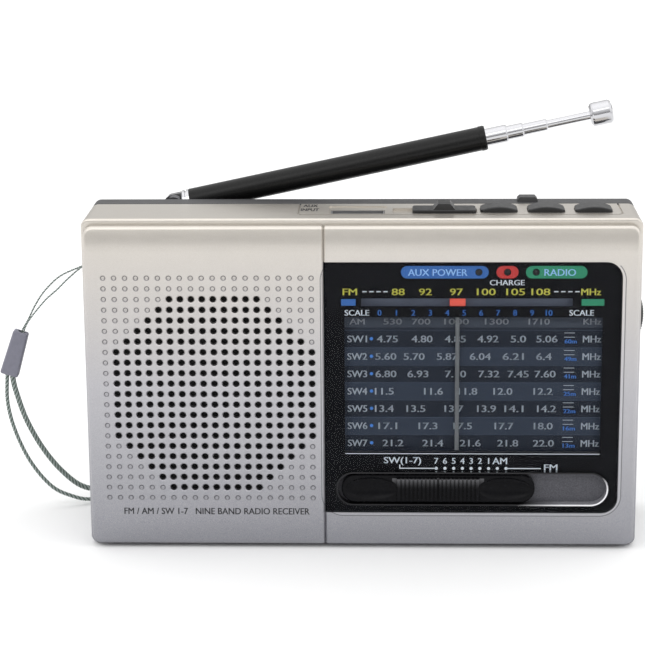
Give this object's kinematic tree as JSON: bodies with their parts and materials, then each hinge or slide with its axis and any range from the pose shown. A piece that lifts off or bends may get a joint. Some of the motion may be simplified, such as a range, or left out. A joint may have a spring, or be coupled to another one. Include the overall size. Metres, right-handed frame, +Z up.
{
  "type": "shortwave receiver",
  "caption": "Pocket shortwave receiver: upright silver body with punched speaker grille, backlit slide-rule dial, band slider, deck controls, wrist strap and telescopic antenna.",
  "frame": {"origin": "centre of the flat bottom that the set stands on, half way across its width and on the middle of its depth", "axes": "+X to the listener's right, +Y from the front panel to the back, +Z up"},
  "size_m": [0.1651, 0.0455, 0.108],
  "materials": {
    "silver_paint": "satin metallic paint on moulded plastic",
    "dark_housing": "fine-textured moulded plastic",
    "clear_lens": "clear polished acrylic",
    "black_print": "black back print with coloured labels",
    "dial_scale": "printed scale with dark and blue-grey bands",
    "black_plastic": "moulded plastic, slightly worn",
    "grey_plastic": "moulded plastic",
    "red_plastic": "moulded plastic",
    "chrome_plate": "bright chrome plate",
    "black_sleeve": "black tube with a soft gloss",
    "steel": "plain steel",
    "brass": "turned brass",
    "circuit_board": "green lacquer over glass fibre",
    "led_epoxy": "milky epoxy",
    "grille_felt": "black felt",
    "cone_paper": "pressed paper",
    "ferrite": "sintered ferrite",
    "copper_winding": "enamelled copper wire",
    "cell_wrap": "printed film wrap",
    "strap_cord": "braided grey-green cord",
    "strap_bead": "soft grey moulding"
  },
  "bodies": {
    "cabinet": {"front_housing": "silver_paint", "speaker_panel": "silver_paint", "dial_panel": "silver_paint", "rear_cover": "dark_housing", "battery_pack": "cell_wrap", "battery_contacts": "steel", "cabinet_screws": "steel", "small_screws": "steel", "dial_lens": "clear_lens", "dial_mask": "black_print", "scale_plate": "dial_scale", "dial_frame": "grey_plastic", "tuning_axle": "steel", "dial_cord": "strap_cord", "tuning_capacitor": "grey_plastic", "volume_pot": "grey_plastic", "band_switch": "steel", "function_switch": "steel", "button_switches": "steel", "main_board": "circuit_board", "player_board": "circuit_board", "indicator_leds": "led_epoxy", "usb_socket": "steel", "headphone_jack": "black_plastic", "charge_socket": "steel", "grille_cloth": "grille_felt", "speaker_frame": "steel", "speaker_magnet": "steel", "speaker_cone": "cone_paper", "ferrite_rod": "ferrite", "ferrite_coil": "copper_winding", "ferrite_holders": "grey_plastic", "strap_string": "strap_cord", "strap_bead": "strap_bead", "strap_cord": "strap_cord"},
    "battery_lid": {"battery_door": "dark_housing"},
    "pointer": {"dial_pointer": "grey_plastic", "pointer_flag": "red_plastic"},
    "tuning_knob": {"tuning_wheel": "black_plastic"},
    "drum": {"tuning_drum": "black_plastic", "capacitor_shaft": "brass"},
    "pulley_left": {"cord_pulley_left": "black_plastic"},
    "pulley_right": {"cord_pulley_right": "black_plastic"},
    "volume_knob": {"volume_wheel": "black_plastic"},
    "band_slider": {"band_knob": "black_plastic", "band_switch_slider": "black_plastic"},
    "function_slider": {"function_knob": "black_plastic"},
    "previous_key": {"previous_button": "black_plastic"},
    "play_key": {"play_button": "black_plastic"},
    "next_key": {"next_button": "black_plastic"},
    "antenna_swivel": {"antenna_base": "chrome_plate", "antenna_pin": "chrome_plate", "antenna_screw": "chrome_plate"},
    "antenna_arm": {"antenna_knuckle": "chrome_plate", "antenna_tube": "black_sleeve"},
    "antenna_stage_1": {"antenna_section_1": "chrome_plate"},
    "antenna_stage_2": {"antenna_section_2": "chrome_plate"},
    "antenna_stage_3": {"antenna_section_3": "chrome_plate"},
    "antenna_stage_4": {"antenna_rod": "chrome_plate", "antenna_tip": "chrome_plate"}
  },
  "joints": [
    {"name": "tuning_turn", "type": "hinge", "parent": "cabinet", "child": "tuning_knob", "pos_m": [0.05655, 0, 0.0558], "axis": [0, 1, 0], "range_deg": [-182, 212]},
    {"name": "pointer_slide", "type": "slide", "parent": "cabinet", "child": "pointer", "axis": [1, 0, 0], "range_m": [-0.0192, 0.0224]},
    {"name": "drum_turn", "type": "hinge", "parent": "cabinet", "child": "drum", "pos_m": [0.027, 0, 0.044], "axis": [0, 1, 0], "range_deg": [-84, 98]},
    {"name": "pulley_left_turn", "type": "hinge", "parent": "cabinet", "child": "pulley_left", "pos_m": [-0.0009, 0, 0.065], "axis": [0, 1, 0], "range_deg": [-440, 512]},
    {"name": "pulley_right_turn", "type": "hinge", "parent": "cabinet", "child": "pulley_right", "pos_m": [0.0625, 0, 0.065], "axis": [0, 1, 0], "range_deg": [-440, 512]},
    {"name": "volume_turn", "type": "hinge", "parent": "cabinet", "child": "volume_knob", "pos_m": [0.0602, 0, 0.026], "axis": [0, 1, 0], "range_deg": [-140, 140]},
    {"name": "band_slide", "type": "slide", "parent": "cabinet", "child": "band_slider", "axis": [1, 0, 0], "range_m": [0, 0.0172]},
    {"name": "function_slide", "type": "slide", "parent": "cabinet", "child": "function_slider", "axis": [1, 0, 0], "range_m": [-0.0046, 0]},
    {"name": "previous_press", "type": "slide", "parent": "cabinet", "child": "previous_key", "axis": [0, 0, -1], "range_m": [0, 0.0005], "stiffness_N_per_m": 600},
    {"name": "play_press", "type": "slide", "parent": "cabinet", "child": "play_key", "axis": [0, 0, -1], "range_m": [0, 0.0005], "stiffness_N_per_m": 600},
    {"name": "next_press", "type": "slide", "parent": "cabinet", "child": "next_key", "axis": [0, 0, -1], "range_m": [0, 0.0005], "stiffness_N_per_m": 600},
    {"name": "battery_door_turn", "type": "hinge", "parent": "cabinet", "child": "battery_lid", "pos_m": [-0.0325, 0.01812, 0.00898], "axis": [-1, 0, 0], "range_deg": [0, 80]},
    {"name": "antenna_swing", "type": "hinge", "parent": "cabinet", "child": "antenna_swivel", "pos_m": [-0.0485, 0.0149, 0.08136], "axis": [0, 0, 1], "range_deg": [0, 180]},
    {"name": "antenna_tilt", "type": "hinge", "parent": "antenna_swivel", "child": "antenna_arm", "pos_m": [-0.0485, 0.0149, 0.08136], "axis": [0, -1, 0], "range_deg": [-12.07, 77.93]},
    {"name": "stage_1_slide", "type": "slide", "parent": "antenna_arm", "child": "antenna_stage_1", "axis": [0.9779, 0, 0.2091], "range_m": [-0.005, 0.0625]},
    {"name": "stage_2_slide", "type": "slide", "parent": "antenna_stage_1", "child": "antenna_stage_2", "axis": [0.9779, 0, 0.2091], "range_m": [-0.0037, 0.0618]},
    {"name": "stage_3_slide", "type": "slide", "parent": "antenna_stage_2", "child": "antenna_stage_3", "axis": [0.9779, 0, 0.2091], "range_m": [-0.0056, 0.0578]},
    {"name": "stage_4_slide", "type": "slide", "parent": "antenna_stage_3", "child": "antenna_stage_4", "axis": [0.9779, 0, 0.2091], "range_m": [-0.0106, 0.0511]}
  ],
  "couplings": [
    {"joint": "pointer_slide", "follows": "tuning_turn", "m_per_rad": 0.006},
    {"joint": "drum_turn", "follows": "tuning_turn", "ratio": 0.45593},
    {"joint": "pulley_left_turn", "follows": "tuning_turn", "ratio": 2.4},
    {"joint": "pulley_right_turn", "follows": "tuning_turn", "ratio": 2.4}
  ]
}
